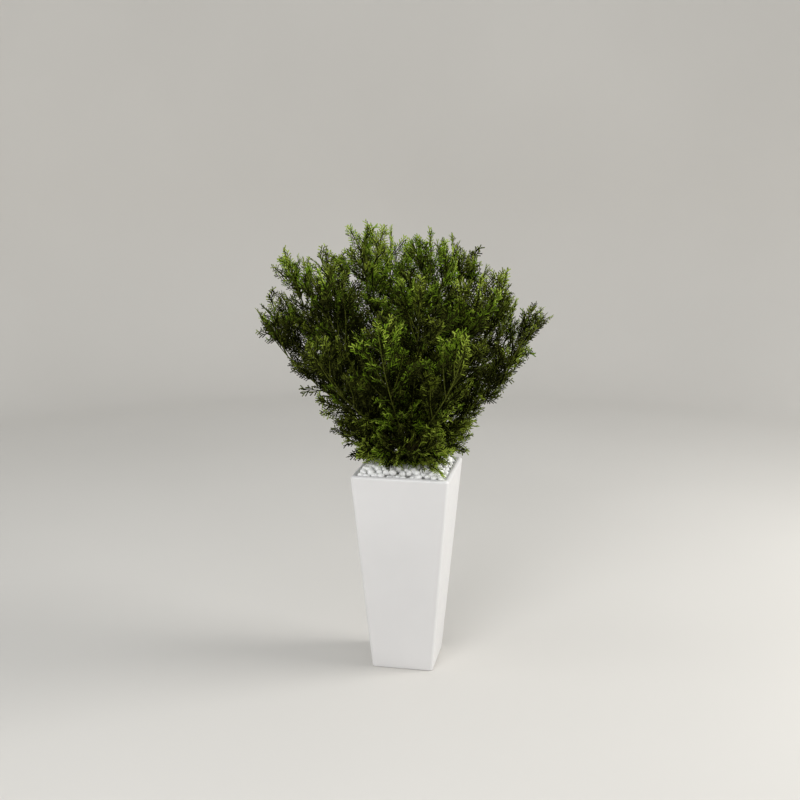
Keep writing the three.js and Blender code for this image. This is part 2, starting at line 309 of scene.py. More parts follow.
def point_along(line, share):
    """The point at a share of the way along a line of evenly spaced points."""
    steps = len(line) - 1
    k = min(int(share * steps), steps - 1)
    return line[k] + (line[k + 1] - line[k]) * (share * steps - k)


def heading_along(line, share):
    steps = len(line) - 1
    k = min(int(share * steps), steps - 1)
    return unit(line[k + 1] - line[k])


# The crown's shape and its plumes

def dome_reach(tilt):
    drop_tilt = min(tilt, CROWN.drop_until_deg * RAD)
    return CROWN.dome * (1 - CROWN.dome_drop * (drop_tilt / (CROWN.drop_at_deg * RAD)) ** 4)


def crown_lean(tilt, turn):
    """How much farther than on average the crown reaches in a direction, as it leans to one side."""
    return 1 + CROWN.lean * sin(tilt) * cos(turn - CROWN.lean_turn_deg * RAD)


def crown_reach(tilt, turn):
    """How far the crown reaches from its foot at a tilt from the vertical and a turn."""
    spread = sin(tilt) - tan(CROWN.flare_deg * RAD) * cos(tilt)
    level_reach = min(dome_reach(tilt), CROWN.mouth / spread) if spread > 0 else dome_reach(tilt)
    return crown_lean(tilt, turn) * level_reach


def depth_share(point):
    """How far out a point of the crown is, from 0 at its foot to 1 at its surface."""
    p = point - FOOT
    return np.linalg.norm(p) / crown_reach(*angles_of(p))


def height_share(point):
    """How high over the rim a point is, as a share of the dome."""
    return (point[2] - RIM_HEIGHT) / CROWN.dome


def flank_share(point):
    """How far down the crown's flank a point is, from 0 at its widest part to 1."""
    tilt = angles_of(point - FOOT)[0]
    return min(max((tilt / RAD - FLANK.tilt_from) / (FLANK.tilt_to - FLANK.tilt_from), 0), 1)


def heap(inward):
    """How much higher than at the planter's wall the pebbles are heaped, a distance in from it."""
    return HEAP.height * (1 - exp(-max(inward, 0) / HEAP.run))


def in_crown(point, proud):
    """Whether a point lies in the crown's dome and flare, and over the pebbles and the rim."""
    p = point - FOOT
    tilt, turn = angles_of(p)
    p = p / crown_lean(tilt, turn)
    out = hypot(p[0], p[1])
    share = (p[2] - FLANK.low) / (FLANK.high - FLANK.low)
    hollow = FLANK.hollow * sin(pi * min(max(share, 0), 1))
    if out > CROWN.mouth + proud - hollow + tan(CROWN.flare_deg * RAD) * p[2]:
        return False
    beside = max(abs(point[0]), abs(point[1]))
    lowest = LOWEST_TWIG + heap(MOUTH_HALF - beside) if beside < MOUTH_HALF else RIM_HEIGHT + RIM_CLEAR
    if point[2] < lowest or (point < BOX_LOW).any() or (point > BOX_HIGH).any():
        return False
    return hypot(out, p[2]) < dome_reach(tilt) + proud


def grow_plumes():
    """The plumes of the part's source: axis, reach, start and the walls of the wedge each one owns."""
    draw = random_from(CROWN.seed)
    plumes = []
    for tier in TIERS:
        for k in range(tier.count):
            tilt = (tier.tilt_deg + JITTER.tilt_deg * (2 * draw() - 1)) * RAD
            step = 2 * pi / tier.count
            turn = tier.turn_deg * RAD + step * (k + JITTER.turn * (2 * draw() - 1))
            reach = crown_reach(tilt, turn) * (1 - JITTER.reach * draw())
            plumes.append(Values(
                name=f"{tier.name}_{k + 1}",
                tier=tier,
                axis=direction_of(tilt, turn),
                reach=reach,
                start=BOUGH.share * reach if tier.has_bough else STEM_HEAD + GAP,
                sag=direction_of(tilt + pi / 2, turn) * BOUGH.bow * reach,
                phase=2 * pi * draw(),
            ))
    for plume in plumes:
        others = [other for other in plumes if other is not plume]
        plume.walls = np.array([unit(plume.axis - other.axis) for other in others])
        plume.tip = tip_of(plume)
    return plumes


def tip_of(plume):
    """Where along a plume its own stem ends."""
    tip = plume.reach
    while not in_crown(point_on(plume, tip), TIP.proud) and tip > TIP.least_share * plume.reach:
        tip -= TIP.step
    return tip


def point_on(plume, distance):
    t = distance / plume.reach
    return FOOT + plume.axis * distance + plume.sag * BOW_SCALE * t * t * (1 - t)


def heading_at(plume, distance):
    return unit(point_on(plume, distance + 1) - point_on(plume, distance))


def owns(plume, point, slack, proud):
    """Whether a point lies in the crown and the plume's own wedge, give or take some slack at its walls.

    Without a plume the whole crown counts."""
    if plume is None:
        return in_crown(point, proud)
    p = point - FOOT
    wall = (plume.walls @ p).min()
    notch = plume.tier.notch * max(0, 1 - wall / NOTCH_WIDTH)
    within = np.linalg.norm(p) < plume.reach * (1 - notch) + proud
    return wall > -slack and within and in_crown(point, proud)


# Pieces

def mesh_piece(name, vertices, faces, smooth=True):
    """A mesh object from millimetres."""
    mesh = bpy.data.meshes.new(name)
    mesh.from_pydata((np.asarray(vertices, float) * MM).tolist(), [], [list(map(int, f)) for f in faces])
    mesh.polygons.foreach_set("use_smooth", [smooth] * len(mesh.polygons))
    mesh.update()
    piece = bpy.data.objects.new(name, mesh)
    bpy.context.scene.collection.objects.link(piece)
    return piece


def join_arrays(parts):
    """Several arrays of vertices and faces as one."""
    vertices, faces, first = [], [], 0
    for more_vertices, more_faces in parts:
        vertices.append(more_vertices)
        faces.append(more_faces + first)
        first += len(more_vertices)
    return np.concatenate(vertices), np.concatenate(faces)


def ring_faces(rings, sides):
    """The faces between rings of points, one ring after another."""
    faces = []
    for i in range(rings - 1):
        for j in range(sides):
            a, b = i * sides + j, i * sides + (j + 1) % sides
            faces.append((a, b, b + sides, a + sides))
    return faces


def dress(piece, material, nodes):
    """Puts a piece on the plant's one body in the place of CAD nodes."""
    piece.data.materials.append(material)
    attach(piece, BODY)
    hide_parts(*nodes)


# Materials

def linear(srgb):
    """A colour of 0 to 255 as linear light, with alpha."""
    return tuple(c / 255 / 12.92 if c <= 10 else ((c / 255 + 0.055) / 1.055) ** 2.4 for c in srgb) + (1.0,)


def grey(value):
    return (value, value, value, 1.0)


class Look:
    """A material in the making, with the nodes that feed its shader."""

    def __init__(self, name, roughness, specular=0.5):
        self.material = bpy.data.materials.new(name)
        self.material.use_nodes = True
        self.tree = self.material.node_tree
        self.sockets = self.tree.nodes["Principled BSDF"].inputs
        self.sockets["Roughness"].default_value = roughness
        self.sockets["Specular IOR Level"].default_value = specular

    def node(self, kind, **values):
        """A new node with values set on its sockets."""
        node = self.tree.nodes.new(kind)
        for socket, value in values.items():
            node.inputs[socket].default_value = value
        return node

    def noise(self, scale, detail, roughness=0.5, stretch=None):
        """A noise over the piece's own coordinates, drawn out by a scale for each axis if one is given."""
        place = self.node("ShaderNodeTexCoord").outputs["Object"]
        if stretch:
            mapping = self.node("ShaderNodeMapping", Scale=stretch)
            self.tree.links.new(place, mapping.inputs["Vector"])
            place = mapping.outputs["Vector"]
        texture = self.node("ShaderNodeTexNoise", Scale=scale, Detail=detail, Roughness=roughness)
        self.tree.links.new(place, texture.inputs["Vector"])
        return texture.outputs["Fac"]

    def ramp(self, value, socket, stops):
        """A colour ramp from a value to the shader. A stop is a place and a colour."""
        node = self.node("ShaderNodeValToRGB")
        elements = node.color_ramp.elements
        while len(elements) < len(stops):
            elements.new(0.5)
        for element, (place, colour) in zip(elements, stops):
            element.position = place
            element.color = colour
        self.tree.links.new(value, node.inputs["Fac"])
        self.tree.links.new(node.outputs["Color"], self.sockets[socket])

    def colours(self, value, *stops):
        """A ramp to the base colour. A stop is a place and a colour of 0 to 255."""
        self.ramp(value, "Base Color", [(place, linear(srgb)) for place, srgb in stops])

    def bump(self, value, strength, distance):
        node = self.node("ShaderNodeBump", Strength=strength, Distance=distance)
        self.tree.links.new(value, node.inputs["Height"])
        self.tree.links.new(node.outputs["Normal"], self.sockets["Normal"])


def ceramic():
    """Satin white glaze with the slightest unevenness."""
    look = Look("planter_glaze", 0.38)
    look.colours(look.noise(5.0, 3), (0.3, (218, 217, 217)), (0.7, (224, 223, 223)))
    look.ramp(look.noise(90.0, 4), "Roughness", [(0.35, grey(0.32)), (0.7, grey(0.46))])
    look.bump(look.noise(14.0, 2), 0.12, 0.002)
    return look.material


def stone():
    """Tumbled white marble chips."""
    look = Look("pebble_stone", 0.6)
    cloud = look.noise(60.0, 5, 0.6)
    look.colours(cloud, (0.3, (244, 243, 242)), (0.5, (251, 251, 250)), (0.75, (254, 254, 253)))
    look.bump(look.noise(700.0, 4, 0.6), 0.35, 0.0004)
    return look.material


def painted_shade_bed():
    """The pebbles that lie deeper, as one rough bed whose grey is painted shade."""
    look = Look("bed_grit", 0.85)
    cloud = look.noise(170.0, 4)
    look.colours(cloud, (0.35, (158, 156, 152)), (0.65, (214, 212, 208)))
    look.bump(cloud, 0.8, 0.003)
    return look.material


def bark(name):
    """Ridged bark: noise drawn out along the stem."""
    dark, light = BARKS[name]
    look = Look(name, 0.8, 0.1)
    ridges = look.noise(320.0, 6, stretch=(1.0, 1.0, 0.18))
    look.colours(ridges, (0.35, dark), (0.65, light))
    look.bump(ridges, 0.7, 0.001)
    return look.material


# Each green is a lit or shaded copy of the leaf, with painted light or painted shade in its colour
def moulded_green(name, dark, light, specular):
    """Moulded cedar leaf: a plain green, a little uneven, with the fine scales of the leaf in its bump."""
    look = Look(name, 0.6, specular)
    look.colours(look.noise(45.0, 3), (0.35, dark), (0.65, light))
    look.bump(look.noise(900.0, 2), 0.5, 0.0005)
    return look.material


def fill_foam():
    look = Look("fill_foam", 0.95, 0.2)
    look.colours(look.noise(120.0, 4), (0.4, (52, 42, 33)), (0.6, (78, 66, 52)))
    return look.material


# Fronds: templates of fine twigs, built flat along Y with the upper face to Z, and then curled

class Sprig:
    """Twigs in the making. Each is one element, with its pinna, its rank along the frond and its shade."""

    def __init__(self):
        keys = ("vertices", "faces", "vertex_elements", "face_elements", "pinnae", "ranks", "shades")
        self.lists = {key: [] for key in keys}

    def add(self, points, faces, pinna, rank, shade):
        first, element = len(self.lists["vertices"]), len(self.lists["pinnae"])
        more = {
            "vertices": points,
            "faces": [[first + i for i in face] for face in faces],
            "vertex_elements": [element] * len(points),
            "face_elements": [element] * len(faces),
            "pinnae": [pinna],
            "ranks": [rank],
            "shades": [shade],
        }
        for key, values in more.items():
            self.lists[key] += values

    def template(self, tip):
        """The twigs as arrays, turned so that the frond's tip lies straight ahead of its root."""
        arrays = {key: np.array(values) for key, values in self.lists.items()}
        arrays["vertices"] = arrays["vertices"] @ frame_of(unit(tip), UP).T
        return arrays


def twig_ring(centre, side, normal, half_width, half_depth):
    """The three corners of a twig's section: a flat underside and a ridge above."""
    low = centre - normal * half_depth * TWIG.keel
    return [low - side * half_width, low + side * half_width, centre + normal * half_depth]


def twig(line, normal, half_width, half_depth, end_share=0.6):
    """Points and faces of a three-sided twig along a line, open at its root and ending in a blunt edge."""
    points, faces = [], []
    steps = len(line) - 1
    for i in range(steps):
        heading = unit(line[i + 1] - line[i])
        side = unit(np.cross(heading, normal))
        thin = 1 - (1 - end_share) * i / steps
        points += twig_ring(line[i], side, np.cross(side, heading), half_width * thin, half_depth * thin)
    points += [line[-1] - side * half_width * end_share, line[-1] + side * half_width * end_share]
    for i in range(steps - 1):
        for a in range(3):
            b = (a + 1) % 3
            low, high = 3 * i, 3 * i + 3
            faces += [(low + a, low + b, high + b), (low + a, high + b, high + a)]
    low = 3 * (steps - 1)
    left, right = low + 3, low + 4
    faces += [
        (low, low + 1, right),
        (low, right, left),
        (low + 1, low + 2, right),
        (low + 2, low, left),
        (low + 2, left, right),
    ]
    return points, faces


def grow_pinna(sprig, root, heading, inward, normal, length, pinna, rank, rng):
    """A side twig of a frond, bending forwards, with finer twigs in turn on its two sides."""
    bend = varied(rng, PINNA.bend_deg) * RAD
    line = [root]
    for share in PINNA.bends:
        line.append(line[-1] + leaning(heading, inward, bend * share) * length / len(PINNA.bends))
    radius = PINNA.radius
    # The pinna's stalk gets painted shade
    sprig.add(*twig(line, normal, radius, radius * PINNA.depth), pinna, rank, PINNA.shade)
    hand = 1 if rng.random() < 0.5 else -1
    distance = TWIG.first
    while distance < length - TWIG.last_clear:
        share = distance / length
        forward = heading_along(line, share)
        across = np.cross(normal, forward) * hand
        lean = (TWIG.lean_deg + about_zero(rng, TWIG.lean_spread_deg)) * RAD
        out = unit(leaning(forward, across, lean) + normal * about_zero(rng, TWIG.lift))
        full = min(TWIG.length, TWIG.tip_length + TWIG.taper * (length - distance))
        size = full * varied(rng, SIZES)
        base = point_along(line, share)
        points = twig([base, base + out * size], normal, TWIG.half_width, TWIG.half_depth, TWIG.end)
        # Painted light, rising along the pinna towards its tip
        sprig.add(*points, pinna, rank, TWIG.shade + TWIG.shade_rise * share)
        hand = -hand
        distance += TWIG.pitch * varied(rng, PITCHES)


def pinna_length(share, length, width_share):
    """How long a pinna is at a share of the way along its frond."""
    profile = min(1.0, PINNA.root_share + PINNA.rise * share) * (1 - share) ** PINNA.fall
    return width_share * length * profile + PINNA.least


def grow_frond(length, width_share, rng):
    """One frond: a stalk with pinnae in turn to its two sides."""
    sprig = Sprig()
    steps = FROND.steps
    sideways = about_zero(rng, FROND.sideways)
    curl = varied(rng, FROND.curl)
    line = [np.zeros(3)]
    for i in range(steps):
        a, b = sideways * (i + 0.5) / steps, curl * (i + 0.5) / steps
        heading = np.array([sin(a) * cos(b), cos(a) * cos(b), sin(b)])
        line.append(line[-1] + heading * length / steps)
    radius = FROND.radius
    # The frond's stalk gets painted shade
    sprig.add(*twig(line, UP, radius, radius * FROND.depth), 0, FROND.rank, FROND.shade)
    hand, distance, pinna = 1, FROND.first_share * length + FROND.first_clear, 1
    while distance < length - FROND.last_clear:
        share = distance / length
        along = heading_along(line, share)
        normal = unit(UP - along * along[2])
        across = np.cross(along, normal) * hand
        lean_deg = PINNA.lean_deg - PINNA.lean_fall_deg * share
        lean = (lean_deg + about_zero(rng, PINNA.lean_spread_deg)) * RAD
        heading = unit(leaning(along, across, lean) + normal * about_zero(rng, PINNA.twist))
        face = unit(normal - heading * (normal @ heading))
        inward = np.cross(face, heading) * hand
        inward = inward if inward @ along > 0 else -inward
        size = pinna_length(share, length, width_share) * varied(rng, SIZES)
        grow_pinna(sprig, point_along(line, share), heading, inward, face, size, pinna, share, rng)
        pinna += 1
        hand = -hand
        distance += PINNA.pitch * varied(rng, PITCHES)
    return sprig.template(line[-1])


# The crown: branches in a spiral up every plume, and fronds on the branches and up the plume's own stem

class Crown:
    """What the plumes grow: fronds dealt out by tone, which is mostly painted light and shade, and the
    lines of the branches.
    """

    def __init__(self):
        self.rng = random.Random(FROND.seed)
        self.templates = {}
        for length in FROND.lengths:
            self.templates[length] = self.grow_templates(length, PINNA.share)
        self.templates[FROND.lead_length] = self.grow_templates(FROND.lead_length, FROND.lead_share)
        self.tones = {name: [] for names in TONES.values() for name in names}
        self.family = "olive"
        self.branches = []

    def grow_templates(self, length, width_share):
        return [grow_frond(length, width_share, self.rng) for _ in range(FROND.variants)]

    def jitter(self, spread):
        return spread * (2 * self.rng.random() - 1)

    def draws(self, count):
        return np.array([self.rng.random() for _ in range(count)]) - 0.5

    def pick_family(self, share):
        """Settles which greens the next branch has."""
        self.family = "fresh" if self.rng.random() < share else "olive"

    def tones_of(self, template, level):
        """The place in TONES of every twig of a template, with its painted light or shade and a random
        tone.
        """
        pinna_draws = self.draws(template["pinnae"].max() + 1)
        own_draws = self.draws(len(template["pinnae"]))
        own_spread = min(SHADE.least_own + SHADE.own_rise * max(level, 0), SHADE.most_own)
        # Painted shade at the frond's root and painted light rising to its tip
        shade = level + SHADE.root + SHADE.rise * template["ranks"] + template["shades"]
        shade = shade + SHADE.pinna * pinna_draws[template["pinnae"]] + own_spread * own_draws
        # The axes are kept dark: painted shade
        is_axis = template["shades"] < SHADE.axis_below
        shade = np.where(is_axis, np.minimum(shade, SHADE.axis_most), shade)
        return np.clip(np.floor(shade + 0.5), 0, len(TONES[self.family]) - 1).astype(int)

    def place(self, root, axes, length, level):
        """Copies a template to its place and deals its twigs out to the greens."""
        nearest = min(self.templates, key=lambda size: abs(size - length))
        template = self.rng.choice(self.templates[nearest])
        placed = (template["vertices"] * (length / nearest)) @ axes + root
        tones = self.tones_of(template, level)
        for index, name in enumerate(TONES[self.family]):
            chosen = tones[template["vertex_elements"]] == index
            if chosen.any():
                renumber = np.cumsum(chosen) - 1
                faces = template["faces"][tones[template["face_elements"]] == index]
                self.tones[name].append((placed[chosen], renumber[faces]))


def frond_on(crown, plume, root, heading, normal, length, level):
    """A frond at a root, shortened until it fits, with more room for the shortest.

    How far a frond may stand out of the crown is left to chance."""
    axes = frame_of(heading, normal)
    proud = SPRAY.proud - SPRAY.shy * crown.rng.random()
    trials = [(size, proud) for size in SPRAY.sizes] + [(SPRAY.sizes[-1], SPRAY.proud + SPRAY.spare)]
    for size, room in trials:
        if owns(plume, root + axes[1] * length * size, SPRAY.slack, room):
            crown.place(root, axes, length * size, level)
            return


def branch_line(plume, distance, turn, length):
    """The points of a side branch, which leaves the plume's stem at an angle and bends back forwards."""
    forward = heading_at(plume, distance)
    out = rotate(perpendicular(forward), forward, turn)
    line = [point_on(plume, distance)]
    for i in range(BRANCH.steps):
        lean = (BRANCH.lean_deg - BRANCH.bend_deg * (i + 0.5) / BRANCH.steps) * RAD
        line.append(line[-1] + leaning(forward, out, lean) * length / BRANCH.steps)
    return line


def fitting_branch(plume, distance, turn):
    """The longest branch of the trials that stays in the plume's space."""
    full = max(BRANCH.per_distance * distance, BRANCH.least_length)
    full = min(full, (plume.tip - distance) * BRANCH.tip_share)
    for size in BRANCH.sizes:
        for nudge in BRANCH.nudges:
            line = branch_line(plume, distance, turn + nudge, full * size)
            if all(owns(plume, point, BRANCH.slack, -BRANCH.inset) for point in (line[-3], line[-1])):
                return line
    return None


def clothe(crown, plume, line, length, pitch, level, first=SPRAY.first_share):
    """Fronds in turn to the two sides of a line, shorter towards its tip."""
    forward = heading_along(line, 0.5)
    normal = rotate(perpendicular(forward), forward, crown.rng.random() * 2 * pi)
    hand = 1
    distance = first * length
    while distance < length - SPRAY.bare_end:
        share = distance / length
        heading = heading_along(line, share)
        across = np.cross(heading, normal) * hand
        lean = (SPRAY.lean_deg + crown.jitter(SPRAY.lean_spread_deg)) * RAD
        out = unit(rotate(across, heading, crown.jitter(SPRAY.fan)))
        way = leaning(heading, out, lean)
        face = rotate(unit(np.cross(heading, out)), way, crown.jitter(SPRAY.roll_deg * RAD))
        reach = SPRAY.reach_share * (length - distance) + SPRAY.least_reach
        reach = reach * (1 + crown.jitter(SPRAY.reach_spread))
        reach = min(max(reach, FROND.lengths[0]), FROND.lengths[-1])
        root = point_along(line, share)
        # Painted light rising towards the line's tip
        frond_on(crown, plume, root, way, face, reach, level + PAINTED_LIGHT_AND_TONE.tip_rise * share)
        hand = -hand
        distance += pitch * (1 + SPRAY.thinning * share + crown.jitter(SPRAY.pitch_spread))


def lead(crown, line, length, size, level):
    """The narrow frond that leads a line to its tip."""
    root = point_along(line, max(1 - size / length, LEAD.least_start))
    heading = unit(line[-1] - root)
    normal = rotate(perpendicular(heading), heading, crown.rng.random() * pi)
    crown.place(root, frame_of(heading, normal), np.linalg.norm(line[-1] - root), level)


def branch_light_and_tone(line, side, plume_light_and_tone, chance):
    """The level of a branch's fronds, from where its tip lies in the crown: painted shade deep inside, and
    painted light at the surface, at the top, low down and on the lower flanks, with a random tone.
    """
    tip = line[-1]
    height = height_share(tip)
    level = PAINTED_LIGHT_AND_TONE.inside + PAINTED_LIGHT_AND_TONE.outward * depth_share(tip) + PAINTED_LIGHT_AND_TONE.top * height ** 3
    level += PAINTED_LIGHT_AND_TONE.low * max(0, 1 - PAINTED_LIGHT_AND_TONE.low_fall * height)
    return level + plume_light_and_tone + chance + PAINTED_LIGHT_AND_TONE.flank * abs(side) * flank_share(tip)


def grow_plume(crown, plume):
    """One plume: its side branches, and the fronds up its own stem to its tip."""
    reach = plume.tip
    start = plume.start
    first = start * BRANCH.first_share if plume.tier.has_bough else start + BRANCH.first_clear
    side = plume.axis[0]
    # Painted shade on the crown's left and painted light on its right, with a random tone for each plume
    plume_light_and_tone = crown.jitter(PAINTED_LIGHT_AND_TONE.plume_spread) + (PAINTED_LIGHT_AND_TONE.left if side < 0 else PAINTED_LIGHT_AND_TONE.right) * side
    fresh_share = max(FRESH.least, FRESH.share - FRESH.fall * abs(side))
    span = BRANCH.last_share * reach - first
    count = max(BRANCH.least_count, round(span / BRANCH.pitch))
    for k in range(count):
        distance = first + span * (k + BRANCH.stagger) / count
        line = fitting_branch(plume, distance, plume.phase + k * TURN_DEG * RAD)
        if line is None:
            continue
        crown.pick_family(fresh_share)
        length = sum(np.linalg.norm(b - a) for a, b in zip(line, line[1:]))
        level = branch_light_and_tone(line, side, plume_light_and_tone, crown.jitter(PAINTED_LIGHT_AND_TONE.branch_spread))
        clothe(crown, plume, line, length, SPRAY.branch_pitch, level)
        # The leading frond gets more painted light
        lead(crown, line, length, min(LEAD.share * length, LEAD.most), level + PAINTED_LIGHT_AND_TONE.branch_lead)
        crown.branches.append(line)
    crown.pick_family(fresh_share)
    steps = 12
    line = [point_on(plume, first + (reach - first) * i / steps) for i in range(steps + 1)]
    # Painted light towards the top of the crown
    level = PAINTED_LIGHT_AND_TONE.stem_top * height_share(line[-1]) ** 3 + plume_light_and_tone
    clothe(crown, plume, line, reach - first, SPRAY.stem_pitch, level, 0.0)
    size = min(FROND.lead_length, LEAD.share * reach)
    # The leading frond gets more painted light
    lead(crown, line, reach - first, size, level + PAINTED_LIGHT_AND_TONE.stem_lead)


def low_spray(crown, kind, k):
    """The turn, tilt and length of one of the low sprays of a kind."""
    tilt = (kind.tilt_deg + crown.jitter(kind.tilt_spread_deg)) * RAD
    return k * TURN_DEG * RAD, tilt, kind.least + (kind.most - kind.least) * crown.rng.random()


def grow_hanging(crown):
    """Short sprays that hang from the stem's head and hide it."""
    for k in range(HANGING.count):
        turn, tilt, length = low_spray(crown, HANGING, k)
        root = FOOT + direction_of(tilt - HANGING.root_lift, turn) * (STEM_HEAD - SPRAY_SINK)
        heading = direction_of(tilt, turn)
        face = rotate(direction_of(tilt - pi / 2, turn), heading, crown.jitter(HANGING.roll))
        # Painted light on the hanging sprays, where the crown shades them, with a random tone
        level = PAINTED_LIGHT_AND_TONE.hanging + crown.jitter(PAINTED_LIGHT_AND_TONE.hanging_spread)
        crown.pick_family(FRESH.low_share)
        for size in SPRAY.sizes:
            if in_crown(root + heading * length * size, SPRAY.proud):
                crown.place(root, frame_of(heading, face), length * size, level)
                break


def drooping_line(turn, tilt, droop_deg, length):
    """The points of a low branch, which leaves the stem's head at a tilt and droops."""
    line = [FOOT + direction_of(tilt, turn) * (STEM_HEAD - SPRAY_SINK)]
    steps = BRANCH.steps
    for i in range(steps):
        way = direction_of(tilt + droop_deg * RAD * (i + 0.5) / steps, turn)
        line.append(line[-1] + way * length / steps)
    return line


def grow_apron(crown):
    """Low branches that reach out to the rim and droop."""
    for k in range(APRON.count):
        turn, tilt, length = low_spray(crown, APRON, k)
        in_front = max(0, -sin(turn + APRON.front_turn_deg * RAD))
        length *= 1 - APRON.front_cut * in_front - APRON.right_cut * (1 + cos(turn))
        line = drooping_line(turn, tilt, APRON.droop_deg, length)
        while len(line) > APRON.least_points and not in_crown(line[-1], 0):
            line.pop()
        length *= (len(line) - 1) / BRANCH.steps
        # Painted light on the low branches, where the crown shades them, with a random tone
        level = PAINTED_LIGHT_AND_TONE.apron + crown.jitter(PAINTED_LIGHT_AND_TONE.apron_spread)
        crown.pick_family(FRESH.low_share)
        clothe(crown, None, line, length, APRON.pitch, level)
        size = min(LEAD.share * length, LEAD.low_most)
        # The leading frond gets more painted light
        lead(crown, line, length, size, level + PAINTED_LIGHT_AND_TONE.apron_lead)
        crown.branches.append(line)


def grow_stray(crown):
    """The one long low spray that droops over the planter's front right corner."""
    turn, tilt = STRAY.turn_deg * RAD, STRAY.tilt_deg * RAD
    line = drooping_line(turn, tilt, STRAY.droop_deg, STRAY.length)
    for size in STRAY.sprays:
        # Painted light, as on the other low sprays
        lead(crown, line, STRAY.length, size, PAINTED_LIGHT_AND_TONE.stray)
    crown.branches.append(line)


def crown_pieces(crown, nodes):
    """The fronds as joined meshes of one green each, the greens being lit and shaded copies of the leaf."""
    for name, parts in crown.tones.items():
        material = moulded_green(f"cedar_{name}", *SHADED_AND_LIT_GREENS[name])
        vertices, faces = join_arrays(parts)
        for part, first in enumerate(range(0, len(faces), PIECE_LIMIT)):
            used, local = np.unique(faces[first : first + PIECE_LIMIT], return_inverse=True)
            triangles = local.reshape(-1, 3)
            piece = mesh_piece(f"sprays_{name}_{part + 1}", vertices[used], triangles, smooth=False)
            dress(piece, material, nodes)


# Stem, boughs and the stems of the plumes

def tube(line, radii, sides, relief=0.0, seed=0.0):
    """A closed tube along points, with ridges of a given height."""
    vertices = []
    side = perpendicular(unit(line[1] - line[0]))
    for i, (centre, radius) in enumerate(zip(line, radii)):
        ahead = unit(line[min(i + 1, len(line) - 1)] - line[max(i - 1, 0)])
        side = unit(side - ahead * (side @ ahead))
        other = np.cross(ahead, side)
        for j in range(sides):
            a = 2 * pi * j / sides
            x, y = RELIEF.around * cos(a), RELIEF.around * sin(a) + seed
            ridge = relief * noise.noise(Vector((x, y, RELIEF.along * i + seed)))
            vertices.append(centre + (side * cos(a) + other * sin(a)) * (radius + ridge))
    faces = ring_faces(len(line), sides)
    faces.append(tuple(reversed(range(sides))))
    faces.append(tuple(range((len(line) - 1) * sides, len(line) * sides)))
    return vertices, faces


def join(parts):
    """Several lists of vertices and faces as one."""
    vertices, faces = [], []
    for more_vertices, more_faces in parts:
        first = len(vertices)
        vertices += more_vertices
        faces += [tuple(first + i for i in face) for face in more_faces]
    return vertices, faces


def limb(plume, start, end, shape):
    """A tapering tube along a plume, from one distance to another."""
    count = max(3, round((end - start) / shape.step))
    places = [start + (end - start) * i / count for i in range(count + 1)]
    taper = shape.tip_radius - shape.root_radius
    radii = [shape.root_radius + taper * i / count for i in range(count + 1)]
    return tube([point_on(plume, d) for d in places], radii, shape.sides, shape.relief, plume.phase)


def boughs(plumes, material):
    with_bough = [plume for plume in plumes if plume.tier.has_bough]
    parts = [limb(plume, STEM_HEAD - LIMB_SINK, plume.start, BOUGH) for plume in with_bough]
    piece = mesh_piece("boughs", *join(parts))
    dress(piece, material, ["bough_" + plume.name for plume in with_bough])


def plume_stems(plumes, branches, material, nodes):
    """The stems of the plumes and of their side branches."""
    parts = []
    for plume in plumes:
        start = plume.start if plume.tier.has_bough else STEM_HEAD - LIMB_SINK
        parts.append(limb(plume, start, plume.tip - PLUME_STEM.bare_tip, PLUME_STEM))
    thin = np.linspace(BRANCH.root_radius, BRANCH.tip_radius, BRANCH.steps + 1)
    parts += [tube(line, thin, BRANCH.sides) for line in branches]
    dress(mesh_piece("plume_stems", *join(parts)), material, nodes)


def stem(material):
    """The stem with its ridged bark, from its flare on the pebbles to its round head."""
    low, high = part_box("stem")
    ground, top = low.z / MM, high.z / MM
    sink, least = STEM.sink, STEM.least_radius
    line, radii = [], []
    for i in range(STEM.steps + 1):
        z = ground - sink + (top - ground + sink) * i / STEM.steps
        t = (z - ground) / STEM.neck_height
        trunk = STEM.neck + (STEM.flare - STEM.neck) * (1 - min(max(t, 0), 1)) ** 2
        ball = sqrt(max(STEM_HEAD ** 2 - (z - FOOT[2]) ** 2, least ** 2))
        radii.append(trunk if t < 1 else max(ball, trunk if z < FOOT[2] else least) - STEM.inset)
        line.append(np.array([0.0, 0.0, z]))
    mesh = tube(line, radii, STEM.sides, STEM.relief, STEM.seed)
    dress(mesh_piece("stem_bark", *mesh), material, ["stem"])


# Planter and pebbles

def planter_sides():
    """The planter's outer half side at the foot and at the rim, and its height, from the solid."""
    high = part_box("planter")[1]
    foot = max(v.co.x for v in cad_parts["planter"].data.vertices if v.co.z < 0.02) / MM
    return foot, high.x / MM, high.z / MM


FOOT_HALF, RIM_HALF, PLANTER_HEIGHT = planter_sides()


def half_side(z):
    return FOOT_HALF + (RIM_HALF - FOOT_HALF) * z / PLANTER_HEIGHT


def square_ring(half, corner, z):
    """Points round a square with rounded corners, with the flat sides divided too."""
    points = []
    m = half - corner
    centres = [(m, m), (-m, m), (-m, -m), (m, -m)]
    steps = PLANTER.corner_steps
    for quarter, centre in enumerate(centres):
        arc = [(quarter + i / steps) * pi / 2 for i in range(steps + 1)]
        points += [(centre[0] + corner * cos(a), centre[1] + corner * sin(a), z) for a in arc]
        start, a = np.array(points[-1]), arc[-1]
        after = centres[(quarter + 1) % 4]
        end = np.array([after[0] + corner * cos(a), after[1] + corner * sin(a), z])
        for i in range(1, PLANTER.side_steps):
            points.append(tuple(start + (end - start) * i / PLANTER.side_steps))
    return points


def edge_arc(radius, start_deg, end_deg, steps=6):
    """Offsets round an edge: how far in from the side, and how far up."""
    out = []
    for i in range(steps + 1):
        a = (start_deg + (end_deg - start_deg) * i / steps) * RAD
        out.append((radius - radius * cos(a), radius * sin(a)))
    return out


